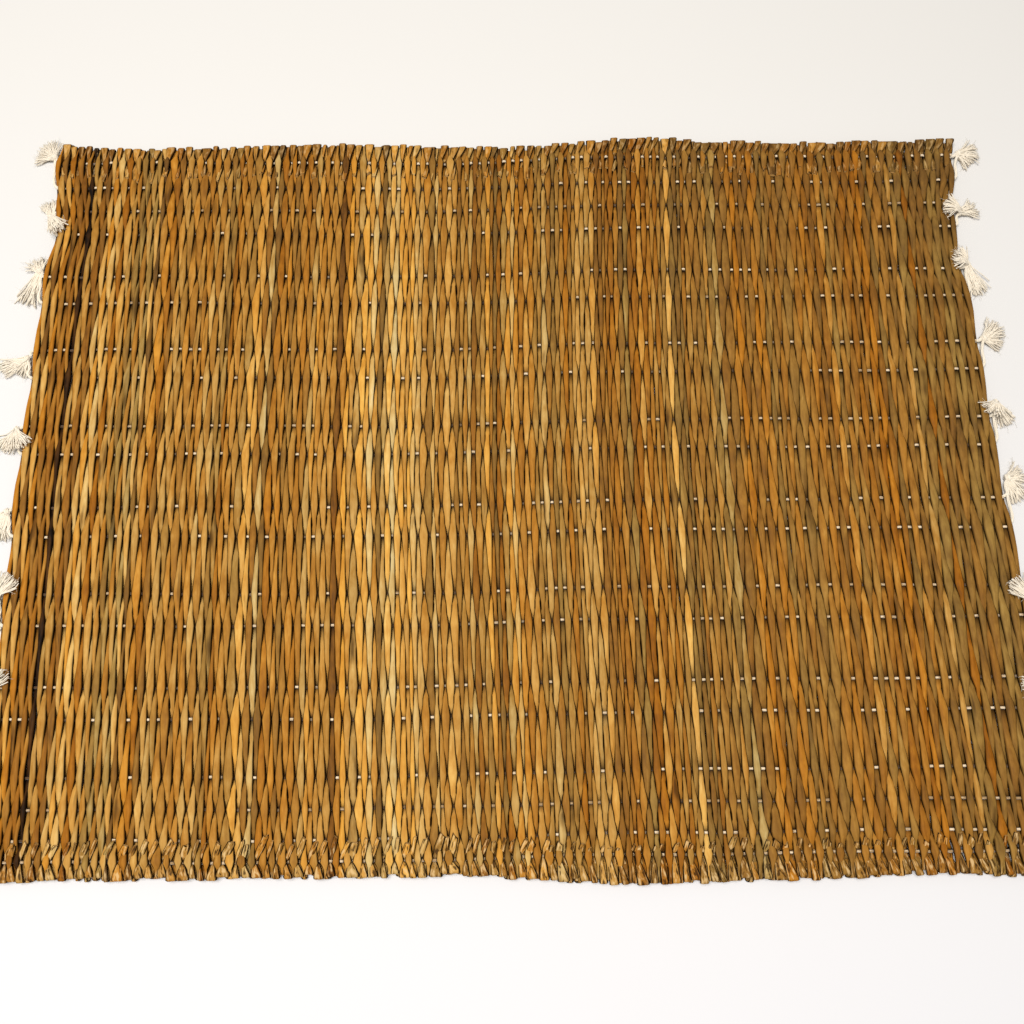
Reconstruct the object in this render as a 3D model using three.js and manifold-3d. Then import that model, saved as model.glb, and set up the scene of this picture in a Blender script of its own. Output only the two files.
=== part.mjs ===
// Straw placemat: rush stems woven across cotton threads, the stems folded back at the
// two long edges and the thread ends knotted in pairs beside the two short sides.
// Millimetres, +Z up. The mat lies flat on Z = 0 and is centred on the origin, with the
// stems along Y and the cotton threads along X.
import * as THREE from 'three';
import { mergeVertices } from 'three/addons/utils/BufferGeometryUtils.js';
import Module from 'manifold-3d';

const wasm = await Module();
wasm.setup();

// Driving dimensions of the mat
const MAT_LENGTH = 450;
const MAT_WIDTH = 350;
const STEM_COUNT = 210;

// Heights of the woven face above the table
const OVER_HEIGHT = 4.2;
const UNDER_HEIGHT = 2.8;
const SIDE_HEIGHT = 2.6;
// In the two edge bands every stem lies double, which lifts the face
const BAND_LIFT = 0.8;
const BAND_THREADS = 2;
// On the edge itself the stems that fold upward stand higher than those that fold downward
const FOLD_UP_HEIGHT = 4.2;
const FOLD_DOWN_HEIGHT = 2.7;

// The plain rectangle in the middle of the underside, anticlockwise from above
const UNDERSIDE_CORNERS = [
  { x: -190, y: 140 },
  { x: -190, y: -140 },
  { x: 190, y: -140 },
  { x: 190, y: 140 },
];

// Places of the cotton threads across the mat's width, from the far edge to the near one
const THREADS = [
  163.9, 149.7, 136.7, 123.6, 100.4, 85.8, 61.4, 46.8, 22.6, 8.8,
  -16.4, -30.2, -56.3, -70.5, -97.0, -110.3, -134.0, -146.7, -158.9, -167.2,
];

// How wide the stems are along the mat, against the average: thin at the left, broad at the right
const STEM_WIDTHS = [
  { along: -225, width: 0.87 },
  { along: -150, width: 1.02 },
  { along: 0, width: 0.96 },
  { along: 110, width: 0.99 },
  { along: 150, width: 1.12 },
  { along: 225, width: 1.08 },
];
// Neighbouring stems differ by up to these shares, in two overlaid rhythms
const WIDTH_RHYTHMS = [
  { share: 0.16, turn: 2.4 },
  { share: 0.1, turn: 5.3 },
];

// How far the stems stray to the right of a straight line at their far and near ends
const FAR_STRAY = [
  { along: -225, right: -0.5 },
  { along: -80, right: -1 },
  { along: 80, right: 4 },
  { along: 155, right: 1.5 },
  { along: 225, right: 1 },
];
const NEAR_STRAY = [
  { along: -225, right: 6 },
  { along: -80, right: 6.3 },
  { along: 80, right: 3.6 },
  { along: 225, right: 5 },
];
// The far ends bend only as they come near the edge
const FAR_BEND = 1.8;

// How far the threads bow towards the far edge, for the farthest and for the nearest of them
const FAR_BOW = [
  { along: -225, out: 2.5 },
  { along: -160, out: 2.5 },
  { along: -30, out: 0.4 },
  { along: 50, out: 3.4 },
  { along: 170, out: 2.2 },
  { along: 225, out: 2.4 },
];
const NEAR_BOW = [
  { along: -225, out: 0.6 },
  { along: -90, out: -0.2 },
  { along: 50, out: 1.6 },
  { along: 170, out: 2 },
  { along: 225, out: 2 },
];

// How far each edge wanders outward from the straight outline
const FAR_EDGE = [
  { along: -225, out: 2.2 },
  { along: -190, out: -1 },
  { along: -90, out: 0.6 },
  { along: 0, out: -2 },
  { along: 68, out: 3 },
  { along: 110, out: 0 },
  { along: 150, out: -1 },
  { along: 225, out: 0 },
];
const NEAR_EDGE = [
  { along: -225, out: -1 },
  { along: -30, out: -1.5 },
  { along: 50, out: 2 },
  { along: 110, out: 1 },
  { along: 170, out: -1 },
  { along: 225, out: 1 },
];
const LEFT_SIDE = [
  { along: -175, out: -6 },
  { along: -50, out: -2 },
  { along: 0, out: 0 },
  { along: 100, out: 0.8 },
  { along: 128, out: -1.8 },
  { along: 165, out: 2 },
  { along: 175, out: 1 },
];
const RIGHT_SIDE = [
  { along: -175, out: 5 },
  { along: -50, out: 2.5 },
  { along: 0, out: 0.3 },
  { along: 75, out: -0.3 },
  { along: 112, out: -3 },
  { along: 135, out: -2.3 },
  { along: 160, out: 1.2 },
  { along: 175, out: 2.4 },
];
// Only stems this near to a short side follow its wander
const SIDE_STRIP = 30;

// Knotted thread ends
const GAP = 0.3;
const KNOT_RADIUS = 1.9;
const KNOT_HEIGHT = 2.0;
const KNOT_STRETCH = 1.25;
const THREAD_RADIUS = 0.65;
const THREAD_SIDES = 4;
const THREAD_HEIGHT = 2.1;
const STRAND_RADIUS = 0.55;
const STRAND_SIDES = 3;
const STRANDS_PER_BRUSH = 3;
const BRUSH_ROOT_WIDTH = 2.4;
const BRUSH_SPREAD = THREE.MathUtils.degToRad(40);
const STRAND_SHORTEST = 0.82;
const STRAND_CLEARANCE = GAP + 2 * STRAND_RADIUS;
// Share of its length over which an inward strand climbs to the mat's face
const CLIMB_SHARE = 0.22;
// Strands that lie on the table, and strands that lie on the mat's face
const TABLE_LEVEL = 0.7;
const FACE_LEVEL = OVER_HEIGHT + BAND_LIFT + GAP + 2 * STRAND_RADIUS;

// One row for each tuft, far to near: where its knot sits beside the mat, and the way
// each of its two brushes points, in degrees anticlockwise from +X seen from above
const LEFT_TUFTS = [
  { knot: 171, first: 120, firstLength: 11, second: 165, secondLength: 10 },
  { knot: 136, first: 108, firstLength: 10, second: 305, secondLength: 12 },
  { knot: 106, first: 112, firstLength: 8, second: 252, secondLength: 19 },
  { knot: 59, first: 203, firstLength: 14, second: 245, secondLength: 9 },
  { knot: 23, first: 238, firstLength: 12, second: 295, secondLength: 11 },
  { knot: -17, first: 215, firstLength: 11, second: 262, secondLength: 13 },
  { knot: -57, first: 55, firstLength: 12, second: 262, secondLength: 14 },
  { knot: -98, first: 60, firstLength: 12, second: 250, secondLength: 12 },
  { knot: -135, first: 192, firstLength: 12, second: 244, secondLength: 11 },
  { knot: -161, first: 172, firstLength: 12, second: 225, secondLength: 12 },
];
const RIGHT_TUFTS = [
  { knot: 168, first: 12, firstLength: 11, second: 330, secondLength: 9 },
  { knot: 134, first: 20, firstLength: 10, second: 163, secondLength: 9 },
  { knot: 105, first: 288, firstLength: 17, second: 160, secondLength: 8 },
  { knot: 65, first: 42, firstLength: 12, second: 345, secondLength: 10 },
  { knot: 32, first: 303, firstLength: 12, second: 245, secondLength: 8 },
  { knot: -5, first: 15, firstLength: 9, second: 295, secondLength: 12 },
  { knot: -64, first: 130, firstLength: 14, second: 300, secondLength: 10 },
  { knot: -101, first: 165, firstLength: 13, second: 200, secondLength: 12 },
  { knot: -136, first: 338, firstLength: 12, second: 286, secondLength: 11 },
  { knot: -161, first: 5, firstLength: 12, second: 312, secondLength: 12 },
];

const rush = new THREE.MeshStandardMaterial({ color: 0xa8823f, roughness: 0.55, metalness: 0 });
const cotton = new THREE.MeshStandardMaterial({ color: 0xe9e0cb, roughness: 0.9, metalness: 0 });

// A table's value at a place along it, easing from each row to the next
function eased(rows, column, along) {
  const last = rows.length - 1;
  const place = THREE.MathUtils.clamp(along, rows[0].along, rows[last].along);
  const after = Math.max(1, rows.findIndex((row) => row.along >= place));
  const from = rows[after - 1];
  const to = rows[after];
  const share = THREE.MathUtils.smoothstep(place, from.along, to.along);
  return THREE.MathUtils.lerp(from[column], to[column], share);
}

// Distance of the mat's short side from its middle; side is -1 on the left and 1 on the right
function sideReach(side, y) {
  return MAT_LENGTH / 2 + eased(side < 0 ? LEFT_SIDE : RIGHT_SIDE, 'out', y);
}

// Where each stem lies across the mat's length: uneven widths that together fill it
function stemPlaces() {
  const widths = [];
  for (let stem = 0; stem < STEM_COUNT; stem += 1) {
    const along = ((stem + 0.5) / STEM_COUNT - 0.5) * MAT_LENGTH;
    const rhythm = WIDTH_RHYTHMS.reduce((sum, { share, turn }) => sum + share * Math.sin(turn * stem), 1);
    widths.push(eased(STEM_WIDTHS, 'width', along) * rhythm);
  }
  const total = widths.reduce((sum, width) => sum + width, 0);
  let filled = 0;
  return widths.map((width) => {
    filled += width;
    return ((filled - width / 2) / total - 0.5) * MAT_LENGTH;
  });
}

function stray(place, y) {
  const share = Math.abs(y) / (MAT_WIDTH / 2);
  return y > 0 ? eased(FAR_STRAY, 'right', place) * share ** FAR_BEND : eased(NEAR_STRAY, 'right', place) * share;
}

// A stem's place along the mat at a distance across it
function stemX(place, y) {
  const side = Math.sign(place);
  const straight = place + stray(place, y);
  const sideStraight = side * MAT_LENGTH / 2 + stray(side * MAT_LENGTH / 2, y);
  const follows = THREE.MathUtils.smoothstep(Math.abs(place), MAT_LENGTH / 2 - SIDE_STRIP, MAT_LENGTH / 2);
  return straight + follows * (side * sideReach(side, y) - sideStraight);
}

// A thread's place across the mat, with its bow
function threadY(thread, x) {
  const share = THREADS[thread] / MAT_WIDTH + 0.5;
  return THREADS[thread] + THREE.MathUtils.lerp(eased(NEAR_BOW, 'out', x), eased(FAR_BOW, 'out', x), share);
}

// Moves a point outward where it would come closer to the mat's side than the clearance
function besideMat(side, point, clearance) {
  const reach = Math.max(side * point.x, sideReach(side, point.y) + clearance);
  return point.setX(side * reach);
}

// A stem passes over every other thread, and its neighbour passes over the rest
function passesOver(stem, thread) {
  return (stem + thread) % 2 === 0;
}

function faceHeight(stem, line) {
  const lastThread = THREADS.length - 1;
  const thread = THREE.MathUtils.clamp(line - 1, 0, lastThread);
  const over = passesOver(stem, thread);
  if (line === 0 || line > THREADS.length) {
    return over ? FOLD_DOWN_HEIGHT : FOLD_UP_HEIGHT;
  }
  const fromEdge = Math.min(thread, lastThread - thread);
  const lift = fromEdge < BAND_THREADS ? BAND_LIFT : 0;
  return (over ? OVER_HEIGHT : UNDER_HEIGHT) + lift;
}

// The woven face: one point where each stem meets each thread, a line of points along each
// long edge and a column of points down each short side
function wovenFace() {
  const points = [];
  const lineCount = THREADS.length + 2;
  const places = [-MAT_LENGTH / 2, ...stemPlaces(), MAT_LENGTH / 2];
  for (let line = 0; line < lineCount; line += 1) {
    places.forEach((place, column) => {
      const farReach = MAT_WIDTH / 2 + eased(FAR_EDGE, 'out', place);
      const nearReach = MAT_WIDTH / 2 + eased(NEAR_EDGE, 'out', place);
      const edgeY = line === 0 ? farReach : -nearReach;
      const onEdge = line === 0 || line === lineCount - 1;
      const y = onEdge ? edgeY : threadY(line - 1, place);
      const onSide = column === 0 || column === places.length - 1;
      const z = onSide ? SIDE_HEIGHT : faceHeight(column - 1, line);
      points.push(new THREE.Vector3(stemX(place, y), y, z));
    });
  }
  return points;
}

function matGeometry() {
  const columns = STEM_COUNT + 2;
  const lines = THREADS.length + 2;
  const points = wovenFace();
  const faces = [];

  // The face, each cell split between its two lower corners so that every float stands alone
  for (let line = 0; line < lines - 1; line += 1) {
    for (let column = 0; column < columns - 1; column += 1) {
      const far = line * columns + column;
      const near = far + columns;
      const farPair = points[far].z + points[near + 1].z;
      const nearPair = points[near].z + points[far + 1].z;
      if (farPair < nearPair) {
        faces.push([far, near, near + 1], [far, near + 1, far + 1]);
      } else {
        faces.push([far, near, far + 1], [far + 1, near, near + 1]);
      }
    }
  }

  // The rim, anticlockwise from above, dropped to the table
  const rim = [];
  for (let line = 0; line < lines - 1; line += 1) rim.push(line * columns);
  for (let column = 0; column < columns - 1; column += 1) rim.push((lines - 1) * columns + column);
  for (let line = lines - 1; line > 0; line -= 1) rim.push(line * columns + columns - 1);
  for (let column = columns - 1; column > 0; column -= 1) rim.push(column);
  const footStart = points.length;
  rim.forEach((top) => points.push(new THREE.Vector3(points[top].x, points[top].y, 0)));
  rim.forEach((top, index) => {
    const next = (index + 1) % rim.length;
    faces.push([top, footStart + index, footStart + next]);
    faces.push([top, footStart + next, rim[next]]);
  });

  // The flat underside: one plain rectangle, and a border from its corners out to the rim
  const cornerStart = points.length;
  UNDERSIDE_CORNERS.forEach(({ x, y }) => points.push(new THREE.Vector3(x, y, 0)));
  const nearestCorner = (index) => {
    const { x, y } = points[rim[index]];
    return cornerStart + UNDERSIDE_CORNERS.findIndex((corner) => corner.x * x >= 0 && corner.y * y >= 0);
  };
  rim.forEach((top, index) => {
    const next = (index + 1) % rim.length;
    const corner = nearestCorner(index);
    const nextCorner = nearestCorner(next);
    faces.push([footStart + next, footStart + index, corner]);
    if (nextCorner !== corner) faces.push([footStart + next, corner, nextCorner]);
  });
  faces.push([cornerStart, cornerStart + 2, cornerStart + 1]);
  faces.push([cornerStart, cornerStart + 3, cornerStart + 2]);

  const geometry = new THREE.BufferGeometry().setFromPoints(points);
  geometry.setIndex(faces.flat());
  geometry.computeVertexNormals();
  return geometry;
}

// Closed solids and back again, for joining the pieces of a tuft
function toSolid(geometry) {
  const bare = geometry.clone();
  bare.deleteAttribute('normal');
  bare.deleteAttribute('uv');
  const merged = mergeVertices(bare, 1e-4);
  const mesh = new wasm.Mesh({
    numProp: 3,
    vertProperties: new Float32Array(merged.attributes.position.array),
    triVerts: new Uint32Array(merged.index.array),
  });
  return new wasm.Manifold(mesh);
}

function toGeometry(solid) {
  const mesh = solid.getMesh();
  const geometry = new THREE.BufferGeometry();
  geometry.setAttribute('position', new THREE.BufferAttribute(Float32Array.from(mesh.vertProperties), 3));
  geometry.setIndex(Array.from(mesh.triVerts));
  geometry.computeVertexNormals();
  return geometry;
}

// A thread or strand of a few flat sides along a smooth route
function cordGeometry(route, radius, sides, steps) {
  const section = new THREE.Shape();
  for (let corner = 0; corner < sides; corner += 1) {
    const angle = (corner / sides) * Math.PI * 2;
    const x = radius * Math.cos(angle);
    const y = radius * Math.sin(angle);
    if (corner === 0) section.moveTo(x, y);
    else section.lineTo(x, y);
  }
  section.closePath();
  const extrudePath = new THREE.CatmullRomCurve3(route);
  return new THREE.ExtrudeGeometry(section, { extrudePath, steps, bevelEnabled: false });
}

function knotGeometry(centre) {
  const knot = new THREE.IcosahedronGeometry(KNOT_RADIUS);
  knot.scale(1, KNOT_STRETCH, 1);
  knot.translate(centre.x, centre.y, centre.z);
  return knot;
}

// The pair's two threads, from where each leaves the mat, along its side to the knot
function edgeThreadGeometry(side, farThread, nearThread, centre) {
  const atSide = (y) => besideMat(side, new THREE.Vector3(0, y, THREAD_HEIGHT), GAP + THREAD_RADIUS);
  const farEnd = Math.max(threadY(farThread, side * MAT_LENGTH / 2), centre.y + KNOT_RADIUS);
  const nearEnd = Math.min(threadY(nearThread, side * MAT_LENGTH / 2), centre.y - KNOT_RADIUS);
  const route = [atSide(farEnd), centre, atSide((centre.y + nearEnd) / 2), atSide(nearEnd)];
  return cordGeometry(route, THREAD_RADIUS, THREAD_SIDES, route.length - 1);
}

// One strand of a brush: outward strands sink to the table, inward ones climb onto the mat
function strandGeometry(side, root, angle, length, climbs) {
  const way = new THREE.Vector3(Math.cos(angle), Math.sin(angle), 0);
  const along = (share) => {
    const point = root.clone().addScaledVector(way, length * share);
    if (climbs) return point.setZ(FACE_LEVEL);
    return besideMat(side, point.setZ(TABLE_LEVEL), STRAND_CLEARANCE);
  };
  const route = [root, along(climbs ? CLIMB_SHARE : 0.5), along(1)];
  return cordGeometry(route, STRAND_RADIUS, STRAND_SIDES, climbs ? 3 : 2);
}

function brushSolids(side, centre, pointing, length) {
  const solids = [];
  const middle = THREE.MathUtils.degToRad(pointing);
  const climbs = side * Math.cos(middle) < 0;
  const across = new THREE.Vector3(-Math.sin(middle), Math.cos(middle), 0);
  for (let strand = 0; strand < STRANDS_PER_BRUSH; strand += 1) {
    const share = strand / (STRANDS_PER_BRUSH - 1) - 0.5;
    const root = centre.clone().addScaledVector(across, share * BRUSH_ROOT_WIDTH);
    const angle = middle + share * BRUSH_SPREAD;
    const uneven = strand % 2 === 0 ? 1 : STRAND_SHORTEST;
    solids.push(toSolid(strandGeometry(side, root, angle, length * uneven, climbs)));
  }
  return solids;
}

function tuftGeometry(side, tuft, order) {
  const knotReach = sideReach(side, tuft.knot) + GAP + KNOT_RADIUS + THREAD_RADIUS;
  const centre = new THREE.Vector3(side * knotReach, tuft.knot, KNOT_HEIGHT);
  const pieces = [
    toSolid(edgeThreadGeometry(side, order * 2, order * 2 + 1, centre)),
    ...brushSolids(side, centre, tuft.first, tuft.firstLength),
    ...brushSolids(side, centre, tuft.second, tuft.secondLength),
  ];
  const joined = pieces.reduce((whole, piece) => whole.add(piece), toSolid(knotGeometry(centre)));
  return toGeometry(joined);
}

function named(name, geometry, material) {
  const mesh = new THREE.Mesh(geometry, material);
  mesh.name = name;
  return mesh;
}

const placemat = new THREE.Group();
placemat.add(named('mat', matGeometry(), rush));
LEFT_TUFTS.forEach((tuft, order) => {
  const name = `tuft_left_${String(order + 1).padStart(2, '0')}`;
  placemat.add(named(name, tuftGeometry(-1, tuft, order), cotton));
});
RIGHT_TUFTS.forEach((tuft, order) => {
  const name = `tuft_right_${String(order + 1).padStart(2, '0')}`;
  placemat.add(named(name, tuftGeometry(1, tuft, order), cotton));
});

export default placemat;
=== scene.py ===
"""Straw placemat: rush stems woven across cotton threads, with knotted thread tufts."""
import math

import bmesh
import bpy
import numpy as np
from mathutils import Matrix, Vector


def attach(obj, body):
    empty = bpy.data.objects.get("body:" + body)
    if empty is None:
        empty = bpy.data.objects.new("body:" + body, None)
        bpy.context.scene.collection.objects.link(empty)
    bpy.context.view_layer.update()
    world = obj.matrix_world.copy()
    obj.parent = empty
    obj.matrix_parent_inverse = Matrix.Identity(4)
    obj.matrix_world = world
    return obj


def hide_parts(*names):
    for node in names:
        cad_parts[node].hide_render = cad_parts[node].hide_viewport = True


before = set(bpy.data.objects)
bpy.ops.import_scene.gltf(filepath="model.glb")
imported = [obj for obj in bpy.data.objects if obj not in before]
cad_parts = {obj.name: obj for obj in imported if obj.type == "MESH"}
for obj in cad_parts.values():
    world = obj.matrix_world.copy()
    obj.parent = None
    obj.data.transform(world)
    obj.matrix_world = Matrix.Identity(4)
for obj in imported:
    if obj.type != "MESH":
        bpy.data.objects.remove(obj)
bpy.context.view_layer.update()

# Driving sizes, in millimetres as in the part's source; meshes are made in metres at the end
MM = 0.001
MAT_LENGTH = 450.0
MAT_WIDTH = 350.0
STEM_COUNT = 210
STEM_PITCH = MAT_LENGTH / STEM_COUNT

# Places of the cotton threads across the mat's width, from the far edge to the near one
THREADS = np.array([
    163.9, 149.7, 136.7, 123.6, 100.4, 85.8, 61.4, 46.8, 22.6, 8.8,
    -16.4, -30.2, -56.3, -70.5, -97.0, -110.3, -134.0, -146.7, -158.9, -167.2,
])
LAST_THREAD = len(THREADS) - 1

# Widths of the stems along the mat, against the average: (place, width)
STEM_WIDTH_ZONES = ((-225, 0.87), (-150, 1.02), (0, 0.96), (110, 0.99), (150, 1.12), (225, 1.08))
# Neighbouring stems differ by up to these shares, in two overlaid rhythms: (share, turn)
WIDTH_RHYTHMS = ((0.16, 2.4), (0.1, 5.3))
# and by chance as well
WIDTH_CHANCE = 0.17
WIDTH_LIMITS = (0.6, 1.5)

# How far the stems stray to the right of a straight line at their far and near ends: (place, right)
FAR_STRAY = ((-225, -0.5), (-80, -1), (80, 4), (155, 1.5), (225, 1))
NEAR_STRAY = ((-225, 6), (-80, 6.3), (80, 3.6), (225, 5))
# The far ends bend only as they come near the edge
FAR_BEND = 1.8

# How far the threads bow towards the far edge, for the farthest and the nearest: (place, out)
FAR_BOW = ((-225, 2.5), (-160, 2.5), (-30, 0.4), (50, 3.4), (170, 2.2), (225, 2.4))
NEAR_BOW = ((-225, 0.6), (-90, -0.2), (50, 1.6), (170, 2), (225, 2))

# How far each edge wanders outward from the straight outline: (place along it, out)
FAR_EDGE = ((-225, 2.2), (-190, -1), (-90, 0.6), (0, -2), (68, 3), (110, 0), (150, -1), (225, 0))
NEAR_EDGE = ((-225, -1), (-30, -1.5), (50, 2), (110, 1), (170, -1), (225, 1))
LEFT_SIDE = ((-175, -6), (-50, -2), (0, 0), (100, 0.8), (128, -1.8), (165, 2), (175, 1))
RIGHT_SIDE = ((-175, 5), (-50, 2.5), (0, 0.3), (75, -0.3), (112, -3), (135, -2.3), (160, 1.2), (175, 2.4))
# Only stems this near to a short side follow its wander
SIDE_STRIP = 30.0

# Heights: the middle of the weave, and how far a stem rises or dips from it at a thread
WEAVE_MIDDLE = 2.1
STEM_RISE = 1.05
# Along the two long edges the stems lie double, so the weave is thicker there
BAND_MIDDLE = 2.6
BAND_RISE = 1.7
# Stem section at a crossing and halfway between threads: half heights, and the share of its width
# that the stem fills halfway: (place, share)
CROSSING_HIGH = 0.92
BETWEEN_HIGH = 1.25
BETWEEN_FILL = ((-225, 0.95), (-60, 0.93), (60, 0.93), (130, 0.96), (225, 0.97))
# The lower half of a stem stays this full, so that no slit goes right through the mat
LOWER_FILL = ((-225, 1.04), (110, 1.04), (225, 1.08))
# Some stems shrink between two threads and leave a dark slit there: (place, share of the spans)
SHRUNK_SHARE = ((-225, 0.2), (-60, 0.14), (60, 0.14), (130, 0.08), (225, 0.06))
SHRUNK_FILL = (0.68, 0.86)
# A flattened stem's section, in shares of its half width and half height: (sideways, upright)
STEM_SECTION = (
    (0.985, 0.3), (0.62, 0.92), (-0.62, 0.92), (-0.985, 0.3),
    (-0.985, -0.3), (-0.62, -0.92), (0.62, -0.92), (0.985, -0.3),
)
LOWER_CORNERS = slice(4, 8)
RUNS_BETWEEN = 4
# How far each crossing strays along its stem by chance
STUMBLE = 0.35
# How far each stem sways sideways, the stretch for one radian of that, and how differently stems start
SWAY = 0.16
SWAY_STRETCH = 31.0
SWAY_START = 7.0
# How a stem narrows away from a thread that it shows at: 1 is straight and more is rounder
LEAF_POWER = 1.25
# Slits beside the crossings, from shut to open ones that show the thread: least and most width
SHUT_SLIT = (0.15, 0.4)
NARROW_SLIT = (0.4, 0.75)
OPEN_SLIT = (0.95, 1.5)
# The open ones are wider towards the right: (place, times)
OPEN_SPREAD = ((-225, 1.0), (110, 1.0), (190, 1.35), (225, 1.35))
NARROW_SHARE = 0.28
# The neighbours of one dark stem leave a slit of this width above it at every thread
DARK_STEM_PLACE = -206.6
DARK_SLIT = 1.9
# Share of the crossings whose slit is open, along the mat: (place, share)
OPEN_SHARE = ((-225, 0.24), (-60, 0.2), (60, 0.26), (150, 0.38), (225, 0.45))

THREAD_WIDE = 0.6
THREAD_HIGH = 0.42
# The thread's rise at a shut slit and at an open one
THREAD_RISES = (0.0, 1.0)
# and how much more it rises in the thicker bands along the two long edges
FAR_BAND_LIFT = 0.45
NEAR_BAND_LIFT = 0.7
# Its slow wave across the mat: how far, and the stretch along the mat for one radian of the wave
THREAD_WAVE = 0.25
THREAD_WAVE_STRETCH = 17.0
# It is painted in full shade up to the first of these rises, and painted as in the light from the second one
# on
SHADED_RISES = (0.3, 0.8)
THREAD_SIDES = 5
THREAD_STEPS = 3


def luck(seed):
    """A fixed source of chance for one kind of unevenness."""
    return np.random.default_rng(seed)


def between(bounds, chance, shape):
    """Even chances between two bounds."""
    return bounds[0] + (bounds[1] - bounds[0]) * chance.random(shape)


def smooth_share(value, start, end):
    """0 at the start, 1 at the end and an easy slope between."""
    share = np.clip((np.asarray(value, dtype=float) - start) / (end - start), 0, 1)
    return share * share * (3 - 2 * share)


def eased(table, along):
    """A table's second column at places along its first, easing from row to row."""
    rows = np.array(table, dtype=float)
    along = np.clip(np.asarray(along, dtype=float), rows[0, 0], rows[-1, 0])
    after = np.clip(np.searchsorted(rows[:, 0], along), 1, len(rows) - 1)
    share = smooth_share(along, rows[after - 1, 0], rows[after, 0])
    return rows[after - 1, 1] * (1 - share) + rows[after, 1] * share


def side_reach(side, y):
    """Distance of the mat's short side from its middle; side is -1 or 1."""
    return MAT_LENGTH / 2 + np.where(side < 0, eased(LEFT_SIDE, y), eased(RIGHT_SIDE, y))


def stem_widths():
    """Uneven widths that together fill the mat's length."""
    stem = np.arange(STEM_COUNT)
    along = ((stem + 0.5) / STEM_COUNT - 0.5) * MAT_LENGTH
    rhythm = 1 + sum(share * np.sin(turn * stem) for share, turn in WIDTH_RHYTHMS)
    chance = np.clip(1 + WIDTH_CHANCE * luck(11).standard_normal(STEM_COUNT), *WIDTH_LIMITS)
    widths = eased(STEM_WIDTH_ZONES, along) * rhythm * chance
    return widths * MAT_LENGTH / widths.sum()


STEM_WIDTHS = stem_widths()
STEM_PLACES = np.cumsum(STEM_WIDTHS) - STEM_WIDTHS / 2 - MAT_LENGTH / 2


def stray(place, y):
    """How far a stem lies to the right of its straight line."""
    share = np.clip(np.abs(y) / (MAT_WIDTH / 2), 0, 1)
    return np.where(y > 0, eased(FAR_STRAY, place) * share ** FAR_BEND, eased(NEAR_STRAY, place) * share)


def stem_x(place, y):
    """A stem's place along the mat at each distance across it."""
    side = np.sign(place)
    side_straight = side * MAT_LENGTH / 2 + stray(side * MAT_LENGTH / 2, y)
    follows = smooth_share(np.abs(place), MAT_LENGTH / 2 - SIDE_STRIP, MAT_LENGTH / 2)
    return place + stray(place, y) + follows * (side * side_reach(side, y) - side_straight)


def thread_y(order, x):
    """A thread's place across the mat, with its bow."""
    share = THREADS[order] / MAT_WIDTH + 0.5
    return THREADS[order] + eased(NEAR_BOW, x) * (1 - share) + eased(FAR_BOW, x) * share


def thread_middle(order):
    """Height of the weave's middle at a thread."""
    from_edge = np.minimum(order, LAST_THREAD - order)
    return np.interp(from_edge, (0, 2), (BAND_MIDDLE, WEAVE_MIDDLE))


def over_thread(stem, order):
    """1 where the stem passes over the thread and -1 where it passes under."""
    return np.where((stem + order) % 2 == 0, 1, -1)


def slit_widths():
    """The slit over or under each stem where its two neighbours close; those below stay shut beside
    an open one above."""
    chance = luck(12)
    shape = (STEM_COUNT, len(THREADS))
    pick = chance.random(shape)
    open_share = eased(OPEN_SHARE, STEM_PLACES)[:, None]
    widths = between(SHUT_SLIT, chance, shape)
    widths = np.where(pick < open_share + NARROW_SHARE, between(NARROW_SLIT, chance, shape), widths)
    spread = eased(OPEN_SPREAD, STEM_PLACES)[:, None]
    widths = np.where(pick < open_share, spread * between(OPEN_SLIT, chance, shape), widths)
    widths[DARK_STEM] = DARK_SLIT
    over = over_thread(np.arange(STEM_COUNT)[:, None], np.arange(len(THREADS))[None, :]) > 0
    open_above = (widths >= OPEN_SLIT[0]) & ~over
    beside = np.zeros(shape, dtype=bool)
    beside[1:] |= open_above[:-1]
    beside[:-1] |= open_above[1:]
    return np.where(over & beside, SHUT_SLIT[0], widths)


DARK_STEM = np.argmin(np.abs(STEM_PLACES - DARK_STEM_PLACE))
SLITS = slit_widths()


# Meshes made from arrays of tubes
def round_section(sides):
    """An even section of a few sides: (sideways, upright) for each corner."""
    turn = (np.arange(sides) + 0.5) * 2 * math.pi / sides
    return np.stack([np.cos(turn), np.sin(turn)], axis=1)


def tube_points(paths, wide, high, section, level):
    """Points round each ring of each tube; level is the way that a ring's width lies."""
    section = np.array(section)
    tubes, rings = paths.shape[:2]
    wide = np.broadcast_to(wide, (tubes, rings))[:, :, None, None]
    high = np.broadcast_to(high, (tubes, rings))[:, :, None, None]
    along = np.gradient(paths, axis=1)
    along /= np.linalg.norm(along, axis=2, keepdims=True)
    level = np.broadcast_to(np.asarray(level, dtype=float), paths.shape)
    across = level - along * (level * along).sum(axis=2, keepdims=True)
    across /= np.linalg.norm(across, axis=2, keepdims=True)
    upward = np.cross(along, across)
    sideways = across[:, :, None, :] * wide * section[None, None, :, :1]
    upright = upward[:, :, None, :] * high * section[None, None, :, 1:]
    return paths[:, :, None, :] + sideways + upright


def tube_faces(tubes, rings, sides, start):
    """Quads along each tube, as rows of point numbers, with (around, along) places for each corner."""
    tube, ring, side = np.meshgrid(np.arange(tubes), np.arange(rings - 1), np.arange(sides), indexing="ij")
    tube, ring, side = tube.ravel(), ring.ravel(), side.ravel()
    this_ring = start + (tube * rings + ring) * sides
    next_ring = this_ring + sides
    following = (side + 1) % sides
    corners = (this_ring + side, this_ring + following, next_ring + following, next_ring + side)
    quads = np.stack(corners, axis=1)
    around = np.stack([side, side + 1, side + 1, side], axis=1) / sides
    runs = np.stack([ring, ring, ring + 1, ring + 1], axis=1)
    return quads, around, runs, tube


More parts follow.
